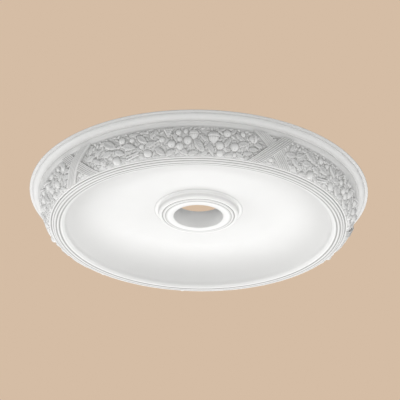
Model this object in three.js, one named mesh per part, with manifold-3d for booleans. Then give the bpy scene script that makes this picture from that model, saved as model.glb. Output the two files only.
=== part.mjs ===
// A round ceiling dome, moulded in one piece. It hangs below the ceiling from its flat back.
// Millimetres, +Z up. The origin is the centre of the back, and the dome lies below it.
import * as THREE from 'three';
import { mergeVertices } from 'three/addons/utils/BufferGeometryUtils.js';
import Module from 'manifold-3d';

const wasm = await Module();
wasm.setup();

// Flange against the ceiling
const flangeRadius = 500;
const flangeEdge = 3.2;
const ovoloRadius = 490.5;
const ovoloDrop = 5.5;
const stepRadius = 474;
const stepTop = 15.3;
const stepFoot = 17.3;
const coveRadius = 471;

// Carved frieze on the outside wall, a shallow bulge from its top to its foot
const friezeTop = new THREE.Vector2(461, -27);
const friezeFoot = new THREE.Vector2(433, -102);
const friezeBulge = 7;
const repeats = 5;
const firstCrossing = -64.6;

// Rolled rim below the frieze: the grooves between its beads. Each bead's rise is measured from the
// chord between its grooves, and its crown is one point, or two where it is broad.
const rimGrooves = [
  { radius: 428.5, drop: 103 },
  { radius: 422.5, drop: 107.5 },
  { radius: 415, drop: 110.5 },
  { radius: 402.5, drop: 110.5 },
  { radius: 394.5, drop: 106.5 },
  { radius: 389.5, drop: 100 },
];
const rimBeads = [
  { rise: 2.5, crown: [0.5] },
  { rise: 2.5, crown: [0.5] },
  { rise: 1.5, crown: [0.25, 0.75] },
  { rise: 2.5, crown: [0.5] },
  { rise: 1.5, crown: [0.5] },
];

// Bowl inside the rim: flat in the middle, then ever steeper down to the rim
const bowlDrop = 34;
const bowlFlatRadius = 225;
const bowlSteps = 5;

// Lamp rose in the middle, and the hole for the lamp
const roseRadius = 130.5;
const roseStep = 1.5;
const roseCoveRadius = 119;
const roseCoveDrop = 47;
const roseGrooves = [
  { radius: 118, drop: 47 },
  { radius: 105.8, drop: 51.5 },
  { radius: 97.5, drop: 55 },
];
const roseBeads = [
  { rise: 4, crown: [0.25, 0.75] },
  { rise: 2, crown: [0.5] },
];
const faceDrop = 56;
const holeRadius = 73.5;
const boredRadius = 40;

// Facets round the axis
const wallSides = 60;
const roseSides = 32;

// Ribbons that cross on the frieze. Widths run along the wall, and the lean is degrees over its height.
const ribbonWidth = 38;
const ribbonLean = 11.6;
const ribbonFoot = 6.4;
const ribbonRidges = 2;
const ribbonOver = 10;
const ribbonUnder = 7;
const ribbonGroove = 2;
const embed = 2.5;

// One garland between two crossings: degrees from the crossing, part of the wall's height,
// millimetres, and the degrees that the tip turns from pointing right.
const garland = [
  { kind: 'leaf', along: -25.2, down: 0.66, size: 29, turn: -52 },
  { kind: 'leaf', along: -30.6, down: 0.8, size: 22, turn: -30 },
  { kind: 'leaf', along: -21, down: 0.76, size: 21, turn: -75 },
  { kind: 'leaf', along: -15.6, down: 0.42, size: 22, turn: 62 },
  { kind: 'leaf', along: -10.6, down: 0.5, size: 25, turn: 15 },
  { kind: 'leaf', along: -9.6, down: 0.8, size: 20, turn: 12 },
  { kind: 'leaf', along: 7.6, down: 0.46, size: 22, turn: 12 },
  { kind: 'leaf', along: 10.6, down: 0.74, size: 23, turn: -32 },
  { kind: 'leaf', along: 15, down: 0.34, size: 29, turn: -34 },
  { kind: 'leaf', along: 22.6, down: 0.6, size: 26, turn: -14 },
  { kind: 'leaf', along: 26.6, down: 0.32, size: 25, turn: -38 },
  { kind: 'nut', along: -27.6, down: 0.27, size: 13, turn: -90 },
  { kind: 'nut', along: -20.6, down: 0.33, size: 16, turn: -90 },
  { kind: 'nut', along: -7.6, down: 0.27, size: 14, turn: -160 },
  { kind: 'fruit', along: -31.8, down: 0.3, size: 12 },
  { kind: 'fruit', along: -18, down: 0.74, size: 13 },
  { kind: 'fruit', along: -13.4, down: 0.72, size: 13 },
  { kind: 'fruit', along: 0, down: 0.86, size: 7 },
  { kind: 'fruit', along: 16.8, down: 0.8, size: 13 },
  { kind: 'fruit', along: 20.4, down: 0.27, size: 12 },
  { kind: 'fruit', along: 28.6, down: 0.74, size: 13 },
];

function solid(geometry) {
  const bare = geometry.index ? geometry.toNonIndexed() : geometry.clone();
  bare.deleteAttribute('normal');
  bare.deleteAttribute('uv');
  const merged = mergeVertices(bare, 1e-3);
  return new wasm.Manifold(new wasm.Mesh({
    numProp: 3,
    vertProperties: new Float32Array(merged.attributes.position.array),
    triVerts: new Uint32Array(merged.index.array),
  }));
}

function geometryOf(manifold) {
  const mesh = manifold.getMesh();
  const geometry = new THREE.BufferGeometry();
  geometry.setAttribute('position', new THREE.BufferAttribute(mesh.vertProperties, 3));
  geometry.setIndex(new THREE.BufferAttribute(mesh.triVerts, 1));
  return geometry;
}

// A closed ring of the profile, whose points run from the back over the outside to the inside.
function lathe(profile, sides) {
  const loop = [...profile, profile[0]].reverse();
  return solid(new THREE.LatheGeometry(loop, sides).rotateX(Math.PI / 2));
}

// Points on a quarter ellipse about a centre, from one angle to another in degrees.
function quarter(centreR, centreZ, sizeR, sizeZ, from, to, steps) {
  return Array.from({ length: steps + 1 }, (unused, i) => {
    const angle = THREE.MathUtils.degToRad(from + ((to - from) * i) / steps);
    return new THREE.Vector2(centreR + sizeR * Math.cos(angle), centreZ + sizeZ * Math.sin(angle));
  });
}

// Grooves joined by beads: each bead's crown stands out from the middle of its chord.
function beaded(grooves, beads) {
  const points = [];
  grooves.forEach((groove, i) => {
    const start = new THREE.Vector2(groove.radius, -groove.drop);
    points.push(start);
    if (i === beads.length) return;
    const end = new THREE.Vector2(grooves[i + 1].radius, -grooves[i + 1].drop);
    const chord = end.clone().sub(start);
    const out = new THREE.Vector2(-chord.y, chord.x).normalize().multiplyScalar(beads[i].rise);
    beads[i].crown.forEach((part) => points.push(start.clone().addScaledVector(chord, part).add(out)));
  });
  return points;
}

// The frieze wall is an arc. A point on it and its outward normal, from 0 at the top to 1 at the foot.
const friezeChord = friezeFoot.clone().sub(friezeTop);
const friezeHeight = friezeChord.length();
const friezeArc = (friezeHeight ** 2 / 4 + friezeBulge ** 2) / (2 * friezeBulge);
const friezeHalfAngle = Math.asin(friezeHeight / 2 / friezeArc);
const friezeDown = friezeChord.clone().normalize();
const friezeOut = new THREE.Vector2(-friezeDown.y, friezeDown.x);
const friezeCentre = friezeTop.clone().add(friezeFoot).multiplyScalar(0.5)
  .addScaledVector(friezeOut, friezeBulge - friezeArc);

function wall(down) {
  const angle = (2 * down - 1) * friezeHalfAngle;
  const normal = friezeOut.clone().multiplyScalar(Math.cos(angle))
    .addScaledVector(friezeDown, Math.sin(angle));
  return { point: friezeCentre.clone().addScaledVector(normal, friezeArc), normal };
}

// Lays a flat ornament on the wall: x runs along it, y up it and z out of it.
function wrap(geometry, along, down) {
  const place = geometry.attributes.position;
  for (let i = 0; i < place.count; i += 1) {
    const { point, normal } = wall(down - place.getY(i) / friezeHeight);
    const angle = THREE.MathUtils.degToRad(along) + place.getX(i) / point.x;
    const spot = point.clone().addScaledVector(normal, place.getZ(i));
    place.setXYZ(i, spot.x * Math.cos(angle), spot.x * Math.sin(angle), spot.y);
  }
  return geometry;
}

function ribbonShape(height) {
  const points = [new THREE.Vector2(-ribbonWidth / 2, -embed)];
  points.push(new THREE.Vector2(ribbonWidth / 2, -embed));
  for (let i = 2 * ribbonRidges; i >= 0; i -= 1) {
    const x = ribbonWidth * (i / (2 * ribbonRidges) - 0.5);
    points.push(new THREE.Vector2(x, height - (i % 2 ? 0 : ribbonGroove)));
  }
  return new THREE.Shape(points);
}

// A ribbon leans across the wall. Its ends are level, so that they meet the cove and the rim.
function ribbon(height, lean) {
  const steps = 2;
  const geometry = new THREE.ExtrudeGeometry(ribbonShape(height), {
    depth: friezeHeight, steps, bevelEnabled: false,
  });
  geometry.rotateX(Math.PI / 2).translate(0, friezeHeight, 0);
  const perHeight = (THREE.MathUtils.degToRad(lean) * friezeTop.x) / friezeHeight;
  geometry.applyMatrix4(new THREE.Matrix4().makeShear(0, 0, perHeight, 0, 0, 0));
  return geometry;
}

function fruit(size) {
  return new THREE.SphereGeometry(size * 1.08, 6, 4).rotateX(Math.PI / 2).translate(0, 0, -size * 0.3);
}

// A pointed leaf with a sharp midrib.
function leaf(size, turn) {
  const geometry = new THREE.SphereGeometry(size * 1.1, 4, 4).scale(0.55, 1, 0.48);
  return geometry.translate(0, 0, -size * 0.14).rotateZ(THREE.MathUtils.degToRad(turn - 90));
}

function nut(size, turn) {
  const geometry = new THREE.SphereGeometry(size, 6, 4).rotateY(Math.PI / 6).scale(0.9, 1.25, 1.1);
  return geometry.translate(0, 0, -size * 0.3).rotateZ(THREE.MathUtils.degToRad(turn - 90));
}

const shapes = { fruit, leaf, nut };

// Bowl surface from inside the rim to the flat middle, a parabola.
function bowl() {
  const rim = rimGrooves[rimGrooves.length - 1];
  return Array.from({ length: bowlSteps }, (unused, i) => {
    const part = 1 - (i + 1) / bowlSteps;
    const radius = bowlFlatRadius + (rim.radius - bowlFlatRadius) * part;
    return new THREE.Vector2(radius, -bowlDrop - (rim.drop - bowlDrop) * part ** 2);
  });
}

function wallRing() {
  return lathe([
    new THREE.Vector2(flangeRadius, 0),
    new THREE.Vector2(flangeRadius, -flangeEdge),
    new THREE.Vector2(ovoloRadius, -flangeEdge),
    ...quarter(stepRadius, -ovoloDrop, ovoloRadius - stepRadius, stepTop - ovoloDrop, 0, -90, 2),
    new THREE.Vector2(stepRadius, -stepFoot),
    ...quarter(coveRadius, friezeTop.y, coveRadius - friezeTop.x, -stepFoot - friezeTop.y, 90, 180, 2),
    ...[0.5, 1].map((down) => wall(down).point),
    ...beaded(rimGrooves, rimBeads),
    ...bowl(),
    new THREE.Vector2(boredRadius, -bowlDrop),
    new THREE.Vector2(boredRadius, 0),
  ], wallSides);
}

function roseRing() {
  const top = -bowlDrop + roseStep;
  const step = -bowlDrop - roseStep;
  const lip = roseRadius - roseStep;
  return lathe([
    new THREE.Vector2(roseRadius, top),
    new THREE.Vector2(roseRadius, step),
    ...quarter(lip, -roseCoveDrop, lip - roseCoveRadius, roseCoveDrop + step, 90, 180, 2),
    ...beaded(roseGrooves, roseBeads),
    new THREE.Vector2(roseGrooves[2].radius, -faceDrop),
    new THREE.Vector2(boredRadius, -faceDrop),
    new THREE.Vector2(boredRadius, top),
  ], roseSides);
}

function hole() {
  const clear = 5;
  const geometry = new THREE.CylinderGeometry(holeRadius, holeRadius, faceDrop + 2 * clear, roseSides);
  return solid(geometry.rotateX(Math.PI / 2).translate(0, 0, -faceDrop / 2));
}

function domeGeometry() {
  let body = wallRing().add(roseRing()).subtract(hole());
  for (let i = 0; i < repeats; i += 1) {
    const crossing = firstCrossing + (i * 360) / repeats;
    body = body.add(solid(wrap(ribbon(ribbonUnder, -ribbonLean), crossing + ribbonFoot, 1)));
    body = body.add(solid(wrap(ribbon(ribbonOver, ribbonLean), crossing - ribbonFoot, 1)));
    garland.forEach(({ kind, along, down, size, turn }) => {
      body = body.add(solid(wrap(shapes[kind](size, turn), crossing + along, down)));
    });
  }
  return geometryOf(body);
}

const dome = new THREE.Mesh(domeGeometry(), new THREE.MeshStandardMaterial({
  color: 0xf2f2f0, roughness: 0.6, metalness: 0,
}));
dome.name = 'ceiling_dome';

const group = new THREE.Group();
group.add(dome);

export default group;
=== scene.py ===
import math
import bmesh
import bpy
import numpy as np
from mathutils import Matrix, Vector


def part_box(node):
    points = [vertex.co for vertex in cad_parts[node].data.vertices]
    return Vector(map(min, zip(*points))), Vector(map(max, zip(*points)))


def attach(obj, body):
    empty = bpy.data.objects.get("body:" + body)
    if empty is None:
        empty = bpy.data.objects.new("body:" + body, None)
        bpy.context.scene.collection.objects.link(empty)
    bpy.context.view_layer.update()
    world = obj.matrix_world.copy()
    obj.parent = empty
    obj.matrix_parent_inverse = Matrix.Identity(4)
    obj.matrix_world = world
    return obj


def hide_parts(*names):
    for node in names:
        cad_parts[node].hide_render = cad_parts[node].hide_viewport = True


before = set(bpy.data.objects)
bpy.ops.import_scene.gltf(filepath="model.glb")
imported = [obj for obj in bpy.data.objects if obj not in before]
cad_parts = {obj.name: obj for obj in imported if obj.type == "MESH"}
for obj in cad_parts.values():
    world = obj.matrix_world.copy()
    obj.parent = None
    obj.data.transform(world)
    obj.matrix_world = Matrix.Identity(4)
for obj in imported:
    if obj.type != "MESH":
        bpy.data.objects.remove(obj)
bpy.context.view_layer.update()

# White moulded ceiling dome, hung from its flat back. Metres, +Z up, the ceiling is z = 0.
mm = 0.001
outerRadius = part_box("ceiling_dome")[1][0] / mm


# Profile tools: a profile is a list of (radius, height) in millimetres

beadFullness = 0.6  # below 1 a bead is fuller than half a sine wave
weldDistance = 0.02 * mm


def arcPoints(centre, size, start, end, steps):
    points = []
    for i in range(steps + 1):
        a = math.radians(start + (end - start) * i / steps)
        points.append((centre[0] + size[0] * math.cos(a), centre[1] + size[1] * math.sin(a)))
    return points


def beadPoints(start, end, rise, steps):  # a rounded bead between two grooves
    chord = Vector((end[0] - start[0], end[1] - start[1]))
    out = Vector((-chord.y, chord.x)).normalized() * rise
    points = []
    for i in range(steps + 1):
        part = i / steps
        spot = Vector(start) + chord * part + out * math.sin(math.pi * part) ** beadFullness
        points.append((spot.x, spot.y))
    return points


def beadRow(grooves, rises, steps):  # beads side by side, up to the last groove
    points = []
    for i, rise in enumerate(rises):
        points += beadPoints(grooves[i], grooves[i + 1], rise, steps)[:-1]
    return points


def spinProfile(bm, points, turn, steps):
    verts = [bm.verts.new((r * mm, 0, z * mm)) for r, z in points]
    edges = [bm.edges.new((verts[i - 1], verts[i])) for i in range(len(verts))]
    bmesh.ops.spin(bm, geom=verts + edges, cent=(0, 0, 0), axis=(0, 0, 1), dvec=(0, 0, 0),
                   angle=math.radians(turn), steps=steps, use_merge=turn == 360, use_duplicate=False)


def repeatAround(bm, count):  # copies a sector round the axis and joins the copies
    sector = bm.verts[:] + bm.edges[:] + bm.faces[:]
    for i in range(1, count):
        copy = bmesh.ops.duplicate(bm, geom=sector)["geom"]
        verts = [g for g in copy if isinstance(g, bmesh.types.BMVert)]
        turn = Matrix.Rotation(i * 2 * math.pi / count, 3, "Z")
        bmesh.ops.rotate(bm, verts=verts, cent=(0, 0, 0), matrix=turn)
    bmesh.ops.remove_doubles(bm, verts=bm.verts, dist=weldDistance)


def finishPiece(bm, name, material, sharpAngle):
    bmesh.ops.recalc_face_normals(bm, faces=bm.faces)
    for face in bm.faces:
        face.smooth = True
    for edge in bm.edges:
        edge.smooth = edge.calc_face_angle(0) < math.radians(sharpAngle)
    mesh = bpy.data.meshes.new(name)
    bm.to_mesh(mesh)
    bm.free()
    piece = bpy.data.objects.new(name, mesh)
    bpy.context.collection.objects.link(piece)
    mesh.materials.append(material)
    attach(piece, "root")
    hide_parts("ceiling_dome")
    return piece


# Matt white primed foam: faint mottling, fine pores and a slightly uneven sheen, with painted shade in
# grooves and painted highlights on ridges

primer = {
    "colour": (0.86, 0.86, 0.855, 1),
    "mottle": (0.82, 0.82, 0.812, 1), "mottleScale": 9, "mottleDetail": 6,
    "roughness": (0.4, 0.5),
    "poreScale": 900, "poreDetail": 3, "poreStrength": 0.05, "poreHeight": 0.5,  # heights in mm
    "waveScale": 30, "waveStrength": 0.04, "waveHeight": 2,
    "recess": (0.46, 0.46, 0.45, 1),  # painted shade colour for grooves; painted highlights on ridges go a little the other way
    "veinDepth": 1.2, "veinWidth": 0.45,
}


def setInputs(node, values):
    for socket, value in values.items():
        node.inputs[socket].default_value = value
    return node


def veinBumpNode(nodes, links, p):  # the attribute holds a count of veins and their strength
    veins = nodes.new("ShaderNodeAttribute")
    veins.attribute_name = "veins"
    split = nodes.new("ShaderNodeSeparateXYZ")
    links.new(veins.outputs["Vector"], split.inputs["Vector"])
    last = split.outputs["X"]
    for operation, value in (("MULTIPLY", math.pi), ("SINE", 0), ("MULTIPLY", 1 / p["veinWidth"]),
                             ("POWER", 2), ("MULTIPLY", -1), ("EXPONENT", 0)):
        step = nodes.new("ShaderNodeMath")
        step.operation = operation
        step.inputs[1].default_value = value
        links.new(last, step.inputs[0])
        last = step.outputs["Value"]
    bump = setInputs(nodes.new("ShaderNodeBump"), {"Distance": p["veinDepth"] * mm})
    bump.invert = True
    links.new(split.outputs["Y"], bump.inputs["Strength"])
    links.new(last, bump.inputs["Height"])
    return bump


def primerMaterial(name, p):
    material = bpy.data.materials.new(name)
    material.use_nodes = True
    nodes, links = material.node_tree.nodes, material.node_tree.links
    shader = nodes["Principled BSDF"]
    where = nodes.new("ShaderNodeTexCoord")
    mottle = setInputs(nodes.new("ShaderNodeTexNoise"),
                       {"Scale": p["mottleScale"], "Detail": p["mottleDetail"]})
    pores = setInputs(nodes.new("ShaderNodeTexNoise"), {"Scale": p["poreScale"], "Detail": p["poreDetail"]})
    waves = setInputs(nodes.new("ShaderNodeTexNoise"), {"Scale": p["waveScale"]})
    for texture in (mottle, pores, waves):
        links.new(where.outputs["Object"], texture.inputs["Vector"])

    blend = nodes.new("ShaderNodeMix")
    blend.data_type = "RGBA"
    setInputs(blend, {"A": p["colour"], "B": p["mottle"]})
    # Painted shade and highlight: a per-vertex attribute pulls the colour towards the dark recess colour, and
    # past the base colour to lighter where it is below 0
    paintedShading = nodes.new("ShaderNodeAttribute")
    paintedShading.attribute_name = "paintedShading"
    recess = nodes.new("ShaderNodeMix")
    recess.data_type = "RGBA"
    recess.clamp_factor = False
    setInputs(recess, {"B": p["recess"]})
    links.new(mottle.outputs["Fac"], blend.inputs["Factor"])
    links.new(blend.outputs["Result"], recess.inputs["A"])
    links.new(paintedShading.outputs["Fac"], recess.inputs["Factor"])
    links.new(recess.outputs["Result"], shader.inputs["Base Color"])

    rough = setInputs(nodes.new("ShaderNodeMapRange"),
                      {"To Min": p["roughness"][0], "To Max": p["roughness"][1]})
    links.new(mottle.outputs["Fac"], rough.inputs["Value"])
    links.new(rough.outputs["Result"], shader.inputs["Roughness"])

    veinBump = veinBumpNode(nodes, links, p)
    waveBump = setInputs(nodes.new("ShaderNodeBump"),
                         {"Strength": p["waveStrength"], "Distance": p["waveHeight"] * mm})
    poreBump = setInputs(nodes.new("ShaderNodeBump"),
                         {"Strength": p["poreStrength"], "Distance": p["poreHeight"] * mm})
    links.new(veinBump.outputs["Normal"], waveBump.inputs["Normal"])
    links.new(waves.outputs["Fac"], waveBump.inputs["Height"])
    links.new(pores.outputs["Fac"], poreBump.inputs["Height"])
    links.new(waveBump.outputs["Normal"], poreBump.inputs["Normal"])
    links.new(poreBump.outputs["Normal"], shader.inputs["Normal"])
    return material


whitePrimer = primerMaterial("whitePrimer", primer)


# Frieze wall, shared by the body and the carving: an arc that bulges from the cove to the rim

wallArc = {
    "top": Vector((461, -27)),
    "foot": Vector((433, -102)),
    "bulge": 7,
}


def wallFrame(w):
    chord = w["foot"] - w["top"]
    down = chord.normalized()
    out = Vector((-down.y, down.x))
    radius = (chord.length ** 2 / 4 + w["bulge"] ** 2) / (2 * w["bulge"])
    half = math.asin(chord.length / 2 / radius)
    centre = (w["top"] + w["foot"]) / 2 + out * (w["bulge"] - radius)
    return chord.length, down, out, radius, half, centre


wallHeight, wallDown, wallOut, wallRadius, wallHalf, wallCentre = wallFrame(wallArc)
wallPerDegree = math.radians(1) * (wallArc["top"].x + wallArc["foot"].x + 2 * wallArc["bulge"]) / 2


def wallPoint(part, lift=0):  # part goes from 0 at the cove to 1 at the rim
    a = (2 * part - 1) * wallHalf
    spot = wallCentre + (wallOut * math.cos(a) + wallDown * math.sin(a)) * (wallRadius + lift)
    return spot.x, spot.y


def onWall(degrees, part, lift):  # a spot on the frieze wall, in metres
    radius, z = wallPoint(part, lift)
    turn = math.radians(degrees)
    return Vector((radius * math.cos(turn), radius * math.sin(turn), z)) * mm


# Body: flange, cove, rim, bowl and lamp rose in one spun profile

body = {
    "steps": 240, "beadSteps": 8, "sharp": 40,
    "edge": 3.2, "edgeRound": 1.4,
    "ovolo": (490.5, -5.5), "ovoloFlat": 1,
    "step": (474, -15.3), "stepFoot": -17.3, "coveStart": 471,
    "wallParts": (0.02, 0.25, 0.5, 0.75, 0.9), "recess": 3,  # behind the carving
    "grooves": [(434, -99), (428.5, -103.6), (422.5, -107.5), (415, -110.4), (405.5, -109.7), (395, -106),
                (389.5, -100)],
    "rises": [5.5, 2.2, 2.2, 1.6, 1.8, 1],
    "bowlDrop": 34, "bowlFlat": 225, "bowlSteps": 24,
    "roseRadius": 130.5, "roseFlat": 2, "roseStep": 1.5, "roseBand": (122.5, -36), "roseCove": (118.5, -42),
    "roseGrooves": [(118, -47), (105.8, -51.5), (97.5, -55)], "roseRises": [5, 2.4],
    "face": -56, "faceEdge": 0.5, "faceMiddle": 90,
    "hole": 73.5, "holeRound": 1.2,
}
shadeRange = (-0.25, 1.2)

# Painted shade in grooves and down the bowl's inner wall, painted highlight on beads and edges. Each row:
# radius and height of a line on the profile, how far its shade reaches in mm, and how deep it is (below 0 a
# painted highlight)
shades = [
    (490.5, -3.2, 1.5, 0.8), (494, -1.6, 2, -0.6), (491, -3.2, 1.5, -0.3), (474, -17.3, 1.2, 0.5),
    (465, -21, 4, 0.3), (461, -27, 3, 0.5), (482, -12, 6, -0.3), (436, -104, 4, -0.5),
    (429, -103.6, 2.6, 1.5), (426, -107.5, 3, -0.4), (422.5, -107.5, 1.6, 1.4), (419, -111, 2.5, -0.4),
    (415, -110.4, 2.6, 1.2), (410, -112, 3, -0.3), (405.5, -109.7, 2.6, 1.2), (400, -110, 3, -0.3),
    (395, -106, 4, -0.3), (372, -84, 55, 0.22), (130.5, -34, 1.3, 0.5), (125, -36, 4, -0.4),
    (118.3, -43, 2.5, 0.4), (118, -46, 2, 0.3), (114, -54, 4, -0.6), (105.8, -51.5, 1.6, 1.2),
    (101, -55, 2.5, -0.3), (97.5, -55, 1.5, 1.2), (88, -56, 7, -0.3),
]


def flangeProfile(b):
    ovolo, step, top = b["ovolo"], b["step"], wallArc["top"]
    points = [(outerRadius, 0)]
    points += arcPoints((outerRadius - b["edgeRound"], -b["edge"] + b["edgeRound"]), (b["edgeRound"],) * 2,
                        0, -90, steps=4)
    points += [(ovolo[0] + b["ovoloFlat"], -b["edge"]), (ovolo[0], -b["edge"])]
    points += arcPoints((step[0], ovolo[1]), (ovolo[0] - step[0], ovolo[1] - step[1]), 0, -90, steps=10)
    points += [(step[0], b["stepFoot"]), (b["coveStart"], b["stepFoot"])]
    cove = (b["coveStart"] - top.x, b["stepFoot"] - top.y)
    return points + arcPoints((b["coveStart"], top.y), cove, 90, 180, steps=8)[1:]


def bowlProfile(b):  # a parabola that is level where the flat begins
    rimIn = b["grooves"][-1]
    points = []
    for i in range(b["bowlSteps"] + 1):
        part = 1 - i / b["bowlSteps"]
        points.append((b["bowlFlat"] + (rimIn[0] - b["bowlFlat"]) * part,
                       -b["bowlDrop"] + (rimIn[1] + b["bowlDrop"]) * part ** 2))
    return points


def roseProfile(b):
    radius, level, band, cove = b["roseRadius"], -b["bowlDrop"], b["roseBand"], b["roseCove"]
    points = [(radius + b["roseFlat"], level), (radius, level),
              (radius - b["roseStep"], level - b["roseStep"]), ((radius + band[0]) / 2, band[1])]
    points += arcPoints((band[0], cove[1]), (band[0] - cove[0], band[1] - cove[1]), 90, 180, steps=6)
    points += beadRow(b["roseGrooves"], b["roseRises"], b["beadSteps"])
    last = b["roseGrooves"][-1]
    points += [last, (last[0] - b["faceEdge"], b["face"]), (b["faceMiddle"], b["face"])]
    points += arcPoints((b["hole"] + b["holeRound"], b["face"] + b["holeRound"]), (b["holeRound"],) * 2,
                        -90, -180, steps=3)
    return points + [(b["hole"], 0)]


def bodyProfile(b):
    wall = [wallPoint(part, -b["recess"]) for part in b["wallParts"]]
    rim = beadRow(b["grooves"], b["rises"], b["beadSteps"])
    return flangeProfile(b) + wall + rim + bowlProfile(b) + roseProfile(b)


def shadeLines(bm, lines):  # painted shade darkens grooves and painted highlight lightens ridges
    paintedShading = bm.verts.layers.float.new("paintedShading")
    for vert in bm.verts:
        r, z = math.hypot(vert.co.x, vert.co.y) / mm, vert.co.z / mm
        shade = sum(depth * math.exp(-((r - x) ** 2 + (z - y) ** 2) / reach ** 2)
                    for x, y, reach, depth in lines)
        vert[paintedShading] = min(max(shade, shadeRange[0]), shadeRange[1])


bm = bmesh.new()
spinProfile(bm, bodyProfile(body), 360, body["steps"])
shadeLines(bm, shades)
domeBody = finishPiece(bm, "domeBody", whitePrimer, body["sharp"])
print("body", len(domeBody.data.polygons))


# Frieze garland: leaves and fruit carved as heights above the wall

carving = {
    "repeats": 5, "crossing": -64.6,  # degrees, where a pair of ribbons crosses
    "steps": 320, "rows": 58, "grid": 0.5, "sharp": 60,
    "back": 6, "frontMargin": 0.5,
    "moat": 0.85, "moatRounds": 8, "bed": 0.3, "pitDepth": 0.9,  # a form sinks what lies round and under it
    "gutter": 0.75, "gutterWidth": 1.6, "clearance": 2.5,  # beside and below the ribbons
    "lipDepth": 2.5, "lipWidth": 2.2,
    "taper": (0.95, 1), "footDrop": 0.5,
    "polish": 2,
    # painted shade in the carving's hollows and creases and painted highlight on its ridges, then painted
    # shade at the top of the frieze turning to painted highlight at its foot
    "hollow": 6, "hollowRounds": 50, "crease": 0.75, "creaseRounds": 8, "ridge": 0.25, "deepest": 1.1,
    "upperShade": 0.55, "upperMiddle": 0.55,
    "fillers": (30, 8), "fillerJitter": (0.3, 0.25), "fillerSize": (5.5, 8.5), "fillerDepth": 0.5, "seed": 11,
}
ribbons = {
    "width": 38, "lean": 11.6, "foot": 6.4,
    "level": 6.4, "sink": 0.55, "sinkFrom": 0.8,
    "cross": 0.45, "hop": 3.4, "hopSpread": 0.3,
    "reeds": 4, "reedRise": 1.7, "reedFullness": 0.7, "fillet": 0.8, "filletRise": 2, "embed": 1,
    # painted shade between the reeds and down the strap's sides, painted highlight on its fillets
    "reedShade": 0.8, "edgeShade": -0.22, "sideShade": 1,
    "points": 41, "steps": 40, "sharp": 50,
}

# Each row: kind, degrees from the crossing, part of the height, size in mm, direction of the tip, depth
garland = [
    ("leaf", -35.3, 0.84, 15, 20, 0.8), ("leaf", -30.6, 0.84, 17, -30, 0.9),
    ("leaf", -25.4, 0.66, 22, -50, 0.95), ("leaf", -27.6, 0.88, 15, 10, 0.8),
    ("leaf", -21.5, 0.77, 17, -68, 0.9), ("leaf", -23.9, 0.9, 13, 30, 0.7),
    ("leaf", -16.1, 0.5, 14, 66, 1.0), ("leaf", -15.4, 0.9, 14, 190, 0.8),
    ("leaf", -12.2, 0.3, 14, 145, 0.8), ("leaf", -10.7, 0.5, 16, 12, 0.9),
    ("leaf", -11.4, 0.88, 14, -25, 0.8), ("leaf", -5.5, 0.47, 14, -18, 0.85),
    ("leaf", -7, 0.62, 14, 4, 0.9), ("leaf", -8.7, 0.77, 13, 10, 0.8), ("leaf", -8.4, 0.92, 11, -5, 0.7),
    ("leaf", -33.4, 0.34, 12, 100, 0.6), ("leaf", -23.9, 0.4, 12, 150, 0.7),
    ("leaf", -19, 0.14, 12, 20, 0.6), ("leaf", -8, 0.12, 11, 0, 0.6), ("leaf", -14.2, 0.14, 10, 40, 0.6),
    ("leaf", 6.9, 0.48, 17, 6, 0.9), ("leaf", 9.4, 0.68, 16, -34, 0.95), ("leaf", 10.4, 0.4, 14, 22, 0.8),
    ("leaf", 15.4, 0.3, 23, -32, 1.0), ("leaf", 14.2, 0.55, 17, 10, 0.8),
    ("leaf", 18.8, 0.62, 16, -24, 0.9), ("leaf", 22.6, 0.5, 20, -15, 0.9),
    ("leaf", 27.4, 0.34, 18, -40, 0.95), ("leaf", 30.4, 0.52, 16, 12, 0.8),
    ("leaf", 31.4, 0.2, 14, 42, 0.8), ("leaf", 33.3, 0.8, 17, -36, 0.9), ("leaf", 7.4, 0.22, 12, 60, 0.7),
    ("leaf", 24.4, 0.14, 13, 10, 0.7), ("leaf", 13.4, 0.92, 12, 185, 0.8),
    ("leaf", 12.6, 0.16, 11, 15, 0.6), ("leaf", 20.4, 0.9, 12, -20, 0.7),
    ("leaf", 26.4, 0.62, 13, 200, 0.8), ("leaf", 28, 0.12, 11, -10, 0.6),
    ("grapes", -35.6, 0.22, 9, -90, 1), ("fruit", -29.9, 0.18, 6.5, -90, 1),
    ("fruit", -32.3, 0.22, 8, -90, 1), ("fruit", -32, 0.44, 7, -60, 1),
    ("fruit", -29.3, 0.49, 11, -90, 1), ("fruit", -34.7, 0.58, 10.5, -80, 1),
    ("cone", -31.9, 0.67, 9, -50, 1), ("nut", -27.3, 0.29, 11, -90, 1), ("nut", -20.8, 0.36, 14, -90, 1),
    ("fruit", -18.5, 0.87, 9.5, -80, 1), ("fruit", -18.7, 0.63, 11, -90, 1),
    ("fruit", -16.4, 0.22, 10, -90, 1), ("fruit", -13.7, 0.63, 11.5, -90, 1),
    ("fruit", -11.2, 0.19, 7.5, -90, 1), ("nut", -7.5, 0.28, 11, -170, 1),
    ("fruit", -13.4, 0.88, 6, -90, 1), ("fruit", 0.3, 0.16, 5.5, -90, 1),
    ("fruit", -0.2, 0.82, 6, -90, 1), ("fruit", 7.6, 0.86, 7, -90, 1), ("fruit", 17, 0.85, 11.5, -90, 1),
    ("fruit", 20.2, 0.25, 9, -90, 1), ("fruit", 23.8, 0.3, 7, -90, 1), ("flower", 11.6, 0.78, 9, 0, 1),
    ("ear", 23.4, 0.8, 20, 12, 1), ("cone", 28.8, 0.8, 10, -20, 1), ("fruit", 27, 0.56, 7, -90, 1),
    ("fruit", 34.2, 0.42, 8, -90, 1), ("pit", 7.6, 0.34, 2.6, 0, 1), ("pit", 11.7, 0.52, 2.4, 0, 1),
    ("pit", 17.1, 0.47, 2.8, 0, 1), ("pit", 24.6, 0.38, 2.4, 0, 1), ("pit", -25.6, 0.42, 2.4, 0, 1),
    ("pit", -22.9, 0.58, 2.8, 0, 1), ("pit", -9.4, 0.39, 2.2, 0, 1), ("pit", -16.6, 0.76, 2.2, 0, 1),
]

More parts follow.
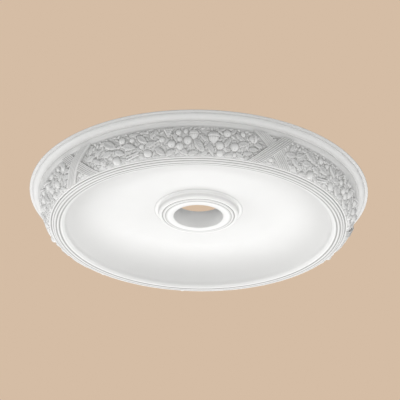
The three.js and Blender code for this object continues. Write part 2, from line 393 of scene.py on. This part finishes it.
# Measures of each kind in mm, or as shares of its size
forms = {
    "leaf": {"width": 0.42, "widest": 0.8, "roundness": 0.75, "lobes": 5, "lobeDepth": 0.14,
             "height": 8, "edgeHeight": 0.62, "across": (0.12, 0.76), "along": (0.12, 0.66), "fullness": 0.8,
             "rib": 0.9, "veinDepth": 0.8, "veinWidth": 0.45, "veinGap": 2.4, "veinSlant": 1.3,
             "veinFade": 0.4},
    "fruit": {"level": 1, "height": 0.85, "eye": 0.5, "eyeSize": 0.24, "eyeDepth": 1.6, "eyePit": 2,
              "eyeRim": 0.7, "eyeRimWidth": 0.4},
    "nut": {"level": 1, "height": 0.72, "tip": 1.3, "tipFullness": 0.85, "stripes": 14, "stripeDepth": 0.35,
            "capLevel": 2, "cap": 0.8, "capWidth": 1.14, "capMiddle": -0.1, "capLength": 0.95,
            "capEnd": -0.05, "scales": (1.5, 1.3), "scaleDepth": 0.6},
    "cone": {"level": 1, "height": 0.72, "length": 1.2, "lattice": 0.85, "latticeDepth": 1.8},
    "ear": {"pairs": 6, "length": 1.6, "start": 0.85, "gap": 3.4, "narrowing": 0.35, "shift": 1.5,
            "slant": (0.92, 0.38), "grain": (4.8, 2.7, 5), "level": 3},
    "flower": {"petals": 5, "petalRise": 3, "petalLevel": 3.5, "petalFullness": 0.5, "notch": 0.28,
               "heart": 0.28, "heartLevel": 6, "heartRise": 2},
    "grapes": {"rows": 4, "size": 0.42, "gap": 0.62, "rowGap": 0.6, "start": 0.8, "level": 4, "height": 0.5},
}
away = -1  # the height a form gives outside its outline
tiny = 1e-6  # keeps a division clear of nought


def ball(ratio):
    return np.sqrt(np.clip(1 - ratio ** 2, 0, None))


def hump(share, start, reach):  # part of half a sine wave
    return np.sin(math.pi * (start + reach * share))


def leafPlan(x, y, size):  # 0 at the stem to 1 at the tip, then half width, then 0 at the rib to 1
    f = forms["leaf"]
    s = np.clip((x / size + 1) / 2, 1e-4, 1 - 1e-4)
    lobes = 1 + f["lobeDepth"] * np.abs(np.sin(s * math.pi * f["lobes"]))
    half = f["width"] * size * np.sin(math.pi * s ** f["widest"]) ** f["roundness"] * lobes
    return s, half, np.clip(np.abs(y) / half, 0, 1)


def veinCount(x, y, size):  # goes up by one from each side vein to the next
    s, half, across = leafPlan(x, y, size)
    return s * size / forms["leaf"]["veinGap"] - across * forms["leaf"]["veinSlant"]


def leafHeight(x, y, size, depth):
    f = forms["leaf"]
    s, half, across = leafPlan(x, y, size)
    blade = f["edgeHeight"] + (1 - f["edgeHeight"]) * hump(across, *f["across"])
    arch = hump(s, *f["along"]) ** f["fullness"]
    vein = np.exp(-(np.sin(math.pi * veinCount(x, y, size)) / f["veinWidth"]) ** 2)
    rib = np.exp(-y ** 2)
    sunk = f["veinDepth"] * vein * (1 - rib) * across ** f["veinFade"]
    height = f["height"] * depth * blade * arch - sunk + f["rib"] * rib
    return np.where((np.abs(x) < size) & (np.abs(y) < half), height, away)


def fruitHeight(x, y, size, depth):
    f = forms["fruit"]
    ratio = np.hypot(x, y) / size
    eye = np.hypot(x - f["eye"] * size, y) / (f["eyeSize"] * size)
    rim, pit = np.exp(-((eye - 1) / f["eyeRimWidth"]) ** 2), np.exp(-eye ** 2 * f["eyePit"])
    height = f["level"] + f["height"] * size * ball(ratio) + f["eyeRim"] * rim - f["eyeDepth"] * pit
    return np.where(ratio < 1, height, away)


def nutHeight(x, y, size, depth):
    f = forms["nut"]
    s = x / size
    pointed = np.clip(1 - (np.abs(s) / f["tip"]) ** 2, 0, None) ** f["tipFullness"]
    half = np.where(s < 0, ball(s), pointed) * size + tiny
    ratio = np.abs(y) / half
    shell = f["level"] + f["height"] * half * ball(ratio) + f["stripeDepth"] * np.cos(ratio * f["stripes"])
    shell = np.where((ratio < 1) & (s > -1) & (s < f["tip"]), shell, away)
    capHalf = f["capWidth"] * size * ball((s - f["capMiddle"]) / f["capLength"]) + tiny
    capRatio = np.abs(y) / capHalf
    scales = f["scaleDepth"] * np.cos(x * f["scales"][0]) * np.cos(y * f["scales"][1])
    cap = f["capLevel"] + f["cap"] * capHalf * ball(capRatio) + scales
    onCap = (capRatio < 1) & (s < f["capEnd"]) & (s > f["capMiddle"] - f["capLength"])
    cap = np.where(onCap, cap, away)
    return np.maximum(shell, cap)


def coneHeight(x, y, size, depth):
    f = forms["cone"]
    ratio = np.hypot(x / f["length"], y) / size
    lattice = np.abs(np.sin((x + y) * f["lattice"])) * np.abs(np.sin((x - y) * f["lattice"]))
    height = f["level"] + f["height"] * size * ball(ratio) + f["latticeDepth"] * lattice
    return np.where(ratio < 1, height, away)


def earHeight(x, y, size, depth):
    f = forms["ear"]
    long, wide, high = f["grain"]
    cosine, sine = f["slant"]
    height = np.full(x.shape, float(away))
    for i in range(f["pairs"]):
        for side in (-1, 1):
            right = x - (f["length"] * i / (f["pairs"] - 1) - f["start"]) * size - side * f["shift"]
            up = y - side * f["gap"] * (1 - f["narrowing"] * i / f["pairs"])
            along, over = right * cosine + up * side * sine, up * cosine - right * side * sine
            ratio = np.hypot(along / long, over / wide)
            height = np.where(ratio < 1, np.maximum(height, f["level"] + high * ball(ratio)), height)
    return height


def flowerHeight(x, y, size, depth):
    f = forms["flower"]
    distance, turn = np.hypot(x, y) / size, np.arctan2(y, x)
    lobe = np.abs(np.cos(turn * f["petals"] / 2))
    swell = lobe ** f["petalFullness"] * np.sin(math.pi * np.clip(distance, 0, 1))
    outline = 1 - f["notch"] + f["notch"] * lobe
    height = np.where(distance < outline, f["petalLevel"] + f["petalRise"] * swell, away)
    heart = f["heartLevel"] + f["heartRise"] * ball(distance / f["heart"])
    return np.where(distance < f["heart"], heart, height)


def grapesHeight(x, y, size, depth):
    f = forms["grapes"]
    height = np.full(x.shape, float(away))
    for row in range(f["rows"]):
        for i in range(f["rows"] - row):
            right = x - (f["rowGap"] * row - f["start"]) * size
            up = y - (i - (f["rows"] - 1 - row) / 2) * f["gap"] * size
            ratio = np.hypot(right, up) / (f["size"] * size)
            grape = f["level"] + f["height"] * size * ball(ratio)
            height = np.where(ratio < 1, np.maximum(height, grape), height)
    return height


kinds = {  # all are called alike, though only a leaf reads its depth
    "leaf": leafHeight, "fruit": fruitHeight, "nut": nutHeight, "cone": coneHeight,
    "ear": earHeight, "flower": flowerHeight, "grapes": grapesHeight,
}


def softened(grid, rounds):
    for _ in range(rounds):
        grid = (np.roll(grid, 1, 1) + 2 * grid + np.roll(grid, -1, 1)) / 4
        padded = np.vstack([grid[:1], grid, grid[-1:]])
        grid = (padded[:-2] + 2 * padded[1:-1] + padded[2:]) / 4
    return grid


def sampled(grid, column, row):  # values between the grid's points; the columns go round the repeat
    left, top = np.floor(column).astype(int), np.minimum(np.floor(row).astype(int), grid.shape[0] - 2)
    across, below = column - left, row - top
    left %= grid.shape[1]
    right = (left + 1) % grid.shape[1]
    upper = grid[top, left] * (1 - across) + grid[top, right] * across
    lower = grid[top + 1, left] * (1 - across) + grid[top + 1, right] * across
    return upper * (1 - below) + lower * below


def fillers(c):  # small leaves that cover the ground behind the garland
    dice = np.random.default_rng(c["seed"])
    columns, rows = c["fillers"]
    aside, upright = c["fillerJitter"]
    span = 360 / c["repeats"]
    found = []
    for i in range(columns):
        for j in range(rows):
            place = ((i + 0.5 * (j % 2) + dice.uniform(-aside, aside)) / columns - 0.5) * span
            part = (j + 0.5 + dice.uniform(-upright, upright)) / rows
            size, turn = dice.uniform(*c["fillerSize"]), dice.uniform(0, 360)
            found.append(("leaf", place, part, size, turn, c["fillerDepth"]))
    return found


def ribbonMiddle(down, side, r):  # degrees from the crossing
    return side * (r["lean"] * (1 - down) - r["foot"])


def ribbonLevel(down, side, r):
    sink = np.clip((down - r["sinkFrom"]) / (1 - r["sinkFrom"]), 0, 1) ** 2
    hop = max(side, 0) * r["hop"] * np.exp(-((down - r["cross"]) / r["hopSpread"]) ** 2)
    return r["level"] * (1 - r["sink"] * sink) + hop


def carveRepeat(c, r):  # heights in mm on a grid over one repeat, columns along, rows down
    span = 360 / c["repeats"]
    columns, rows = round(span * wallPerDegree / c["grid"]), round(wallHeight / c["grid"])
    along, down = np.meshgrid((np.arange(columns) / columns - 0.5) * span, np.arange(rows + 1) / rows)
    height, veins, veined = np.zeros(along.shape), np.zeros(along.shape), np.zeros(along.shape)
    for kind, place, part, size, turn, depth in fillers(c) + garland:
        right = ((along - place + span / 2) % span - span / 2) * wallPerDegree
        up = (part - down) * wallHeight
        if kind == "pit":
            height *= 1 - c["pitDepth"] * np.exp(-(right ** 2 + up ** 2) / size ** 2)
            continue
        cosine, sine = math.cos(math.radians(turn)), math.sin(math.radians(turn))
        x, y = right * cosine + up * sine, up * cosine - right * sine
        form = kinds[kind](x, y, size, depth)
        inside = form >= 0
        soft = softened(inside.astype(float), c["moatRounds"])
        height *= 1 - c["moat"] * soft
        height = np.where(inside, np.maximum(form, c["bed"] * height), height)
        veins = np.where(inside, veinCount(x, y, size), veins)
        blade = (kind == "leaf") * np.clip(3 * soft - 2, 0, 1)  # veins fade towards a leaf's edge
        veined = np.where(inside, blade, veined * (1 - soft))
    for side in (-1, 1):
        edge = np.abs(along - ribbonMiddle(down, side, r)) * wallPerDegree - r["width"] / 2
        under = np.clip(ribbonLevel(down, side, r) - c["clearance"], 0, None)
        height = np.where(edge < 0, np.minimum(height, under), height)
        height *= 1 - c["gutter"] * np.exp(-(np.clip(edge, 0, None) / c["gutterWidth"]) ** 2)
    foot = np.clip((down - c["taper"][0]) / (c["taper"][1] - c["taper"][0]), 0, 1)
    height = height * (1 - foot) - c["footDrop"] * foot
    lip = np.exp(-(down * wallHeight / c["lipWidth"]) ** 4)
    return softened(height * (1 - lip) - c["lipDepth"] * lip, c["polish"]), veins, veined


def hollowShade(relief, c):  # painted shade above 0 in hollows, creases and the upper frieze, painted highlight below 0 on ridges and towards the foot
    broad, fine = softened(relief, c["hollowRounds"]) - relief, softened(relief, c["creaseRounds"]) - relief
    upper = c["upperShade"] * (c["upperMiddle"] - np.arange(len(relief)) / len(relief))[:, None]
    return np.clip(broad / c["hollow"] + fine / c["crease"] + upper, -c["ridge"], c["deepest"])


def carveFrieze(c, r):
    span = 360 / c["repeats"]
    relief, veins, veined = carveRepeat(c, r)
    hollow = hollowShade(relief, c)
    front = [wallPoint(i / c["rows"]) for i in range(c["rows"] + 1)]
    back = [wallPoint(1, -c["back"]), wallPoint(0, -c["back"])]
    bm = bmesh.new()
    spinProfile(bm, front + back, span, c["steps"])

    place = np.array([v.co for v in bm.verts]) / mm
    radial = np.hypot(place[:, 0], place[:, 1])
    fromCentre = np.stack([radial - wallCentre.x, place[:, 2] - wallCentre.y], -1)
    distance = np.hypot(fromCentre[:, 0], fromCentre[:, 1])
    onFront = distance > wallRadius - c["frontMargin"]
    angle = np.arctan2(fromCentre @ np.array(wallDown), fromCentre @ np.array(wallOut))
    degrees = np.degrees(np.arctan2(place[:, 1], place[:, 0])) - c["crossing"]
    row = np.clip((angle / wallHalf + 1) / 2, 0, 1) * (relief.shape[0] - 1)
    column = ((degrees / span + 0.5) % 1) * relief.shape[1]

    lift = np.where(onFront, sampled(relief, column, row), 0)
    outward = fromCentre / distance[:, None] * lift[:, None]
    place[:, :2] *= (1 + outward[:, 0] / radial)[:, None]
    place[:, 2] += outward[:, 1]
    for vert, spot in zip(bm.verts, place * mm):
        vert.co = spot

    # each vertex on the front gets the carving's painted shade and highlight, and its veins
    paintedShading, veinLayer = bm.verts.layers.float.new("paintedShading"), bm.verts.layers.float_vector.new("veins")
    near = np.round(row).astype(int), np.round(column).astype(int) % relief.shape[1]
    paint = zip(bm.verts, onFront, hollow[near], veins[near], veined[near])
    for vert, shown, shading, count, strength in paint:
        if shown:
            vert[paintedShading] = shading
            vert[veinLayer] = (count, strength, 0)
    repeatAround(bm, c["repeats"])
    return finishPiece(bm, "friezeCarving", whitePrimer, c["sharp"])


friezeCarving = carveFrieze(carving, ribbons)
print("frieze", len(friezeCarving.data.polygons))


# Crossed ribbons: reeded straps that leap over one another

def ribbonSection(down, side, r, crossing):  # places and shades across a ribbon, from side to side
    half, count = r["width"] / 2 / wallPerDegree, r["points"]
    level = ribbonLevel(down, side, r)
    middle = crossing + ribbonMiddle(down, side, r)
    section = [(onWall(middle - half, down, -r["embed"]), r["sideShade"])]
    for i in range(count):
        a = 2 * i / (count - 1) - 1
        bulge = abs(math.sin(a / r["fillet"] * math.pi * r["reeds"] / 2))
        inner = abs(a) <= r["fillet"]
        rise = r["reedRise"] * bulge ** r["reedFullness"] if inner else r["filletRise"]
        shade = r["reedShade"] * (1 - bulge) if inner else r["edgeShade"]
        section.append((onWall(middle + a * half, down, level + rise), shade))
    return section + [(onWall(middle + half, down, -r["embed"]), r["sideShade"])]


def strap(bm, paintedShading, side, r, crossing):
    def put(verts, down):
        for vert, (spot, shade) in zip(verts, ribbonSection(down, side, r, crossing)):
            vert.co = spot
            vert[paintedShading] = shade

    verts = [bm.verts.new() for _ in range(r["points"] + 2)]
    put(verts, 0)
    edges = [bm.edges.new((verts[i - 1], verts[i])) for i in range(len(verts))]
    first = edges[:]
    for step in range(1, r["steps"] + 1):
        made = bmesh.ops.extrude_edge_only(bm, edges=edges)["geom"]
        edges = [g for g in made if isinstance(g, bmesh.types.BMEdge) and not set(g.verts) & set(verts)]
        verts = [next(e.other_vert(v) for e in v.link_edges if e.other_vert(v) in made) for v in verts]
        put(verts, step / r["steps"])
    bmesh.ops.edgeloop_fill(bm, edges=first)
    bmesh.ops.edgeloop_fill(bm, edges=edges)


bm = bmesh.new()
# the ribbons' painted shade and highlight go to the same attribute as the body's
paintedShading = bm.verts.layers.float.new("paintedShading")
for side in (-1, 1):
    strap(bm, paintedShading, side, ribbons, carving["crossing"])
repeatAround(bm, carving["repeats"])
crossedRibbons = finishPiece(bm, "crossedRibbons", whitePrimer, ribbons["sharp"])
print("ribbons", len(crossedRibbons.data.polygons))


# Stage: pale floor far below, so that views from below stay clear of it

stage = {
    "floorDrop": 5.2, "floorSize": 60,
    "floorColour": (0.8, 0.79, 0.77, 1), "floorRoughness": 0.9, "floorGlow": 0.22,
    "backdrop": (0.665, 0.508, 0.376, 1),
    "ambient": (1, 1, 1, 1), "ambientStrength": 0.08,
}


def makeFloor(s):
    floorMesh = bmesh.new()
    bmesh.ops.create_grid(floorMesh, x_segments=1, y_segments=1, size=s["floorSize"] / 2)
    mesh = bpy.data.meshes.new("floor")
    floorMesh.to_mesh(mesh)
    floorMesh.free()
    mesh.transform(Matrix.Translation((0, 0, -s["floorDrop"])))
    floor = bpy.data.objects.new("floor", mesh)
    bpy.context.collection.objects.link(floor)
    material = bpy.data.materials.new("paleFloor")
    material.use_nodes = True
    setInputs(material.node_tree.nodes["Principled BSDF"], {
        "Base Color": s["floorColour"], "Roughness": s["floorRoughness"],
        "Emission Color": s["floorColour"], "Emission Strength": s["floorGlow"],
    })
    mesh.materials.append(material)


def makeWorld(s):  # a tan backdrop behind the dome, which lights nothing, and a weak white fill
    world = bpy.data.worlds.new("studio")
    bpy.context.scene.world = world
    world.use_nodes = True
    nodes, links = world.node_tree.nodes, world.node_tree.links
    fill = setInputs(nodes["Background"], {"Color": s["ambient"], "Strength": s["ambientStrength"]})
    seen = setInputs(nodes.new("ShaderNodeBackground"), {"Color": s["backdrop"]})
    path = nodes.new("ShaderNodeLightPath")
    either = nodes.new("ShaderNodeMixShader")
    links.new(path.outputs["Is Camera Ray"], either.inputs["Fac"])
    links.new(fill.outputs["Background"], either.inputs[1])
    links.new(seen.outputs["Background"], either.inputs[2])
    links.new(either.outputs["Shader"], nodes["World Output"].inputs["Surface"])


makeFloor(stage)
makeWorld(stage)


# Lights: soft boxes aimed at the dome, four below the ceiling and one above it

lights = {
    "back": {"place": (0, 2.85, -2.8), "size": 2.8, "watts": 91},
    "left": {"place": (-3.85, 0.4, -0.95), "size": 2.5, "watts": 71},
    "front": {"place": (0, -3.3, -2.2), "size": 2.5, "watts": 62},
    "right": {"place": (3.85, 0, -1.05), "size": 2.5, "watts": 45},
    "top": {"place": (-1.2, 2.6, 3.4), "size": 3, "watts": 50},
}


def makeLight(name, l):
    lamp = bpy.data.lights.new(name, "AREA")
    lamp.size = l["size"]
    lamp.energy = l["watts"]
    lightObject = bpy.data.objects.new(name, lamp)
    bpy.context.collection.objects.link(lightObject)
    lightObject.location = l["place"]
    aim = -Vector(l["place"])
    lightObject.rotation_euler = aim.to_track_quat("-Z", "Y").to_euler()
    lightObject.visible_camera = False


for name, light in lights.items():
    makeLight(name, light)
bpy.context.scene.view_settings.view_transform = "Standard"


# Camera: looks up from below at the photograph's angle

eye = {
    "back": 3.065, "below": 1.636,
    "pitch": 28.094, "yaw": 0.075, "roll": 0.88,
    "lens": 104.9, "sensor": 36,
}


def makeCamera(e):
    data = bpy.data.cameras.new("camera")
    data.lens, data.sensor_width = e["lens"], e["sensor"]
    camera = bpy.data.objects.new("camera", data)
    bpy.context.collection.objects.link(camera)
    pitch, yaw, roll = (math.radians(e[k]) for k in ("pitch", "yaw", "roll"))
    ahead = Vector((math.sin(yaw) * math.cos(pitch), math.cos(yaw) * math.cos(pitch), math.sin(pitch)))
    right = Vector((math.cos(yaw), -math.sin(yaw), 0))
    up = right.cross(ahead)
    rightRolled = right * math.cos(roll) + up * math.sin(roll)
    upRolled = up * math.cos(roll) - right * math.sin(roll)
    turn = Matrix((rightRolled, upRolled, -ahead)).transposed().to_4x4()
    camera.matrix_world = Matrix.Translation((0, -e["back"], -e["below"])) @ turn
    bpy.context.scene.camera = camera


makeCamera(eye)
print("camera and lights")
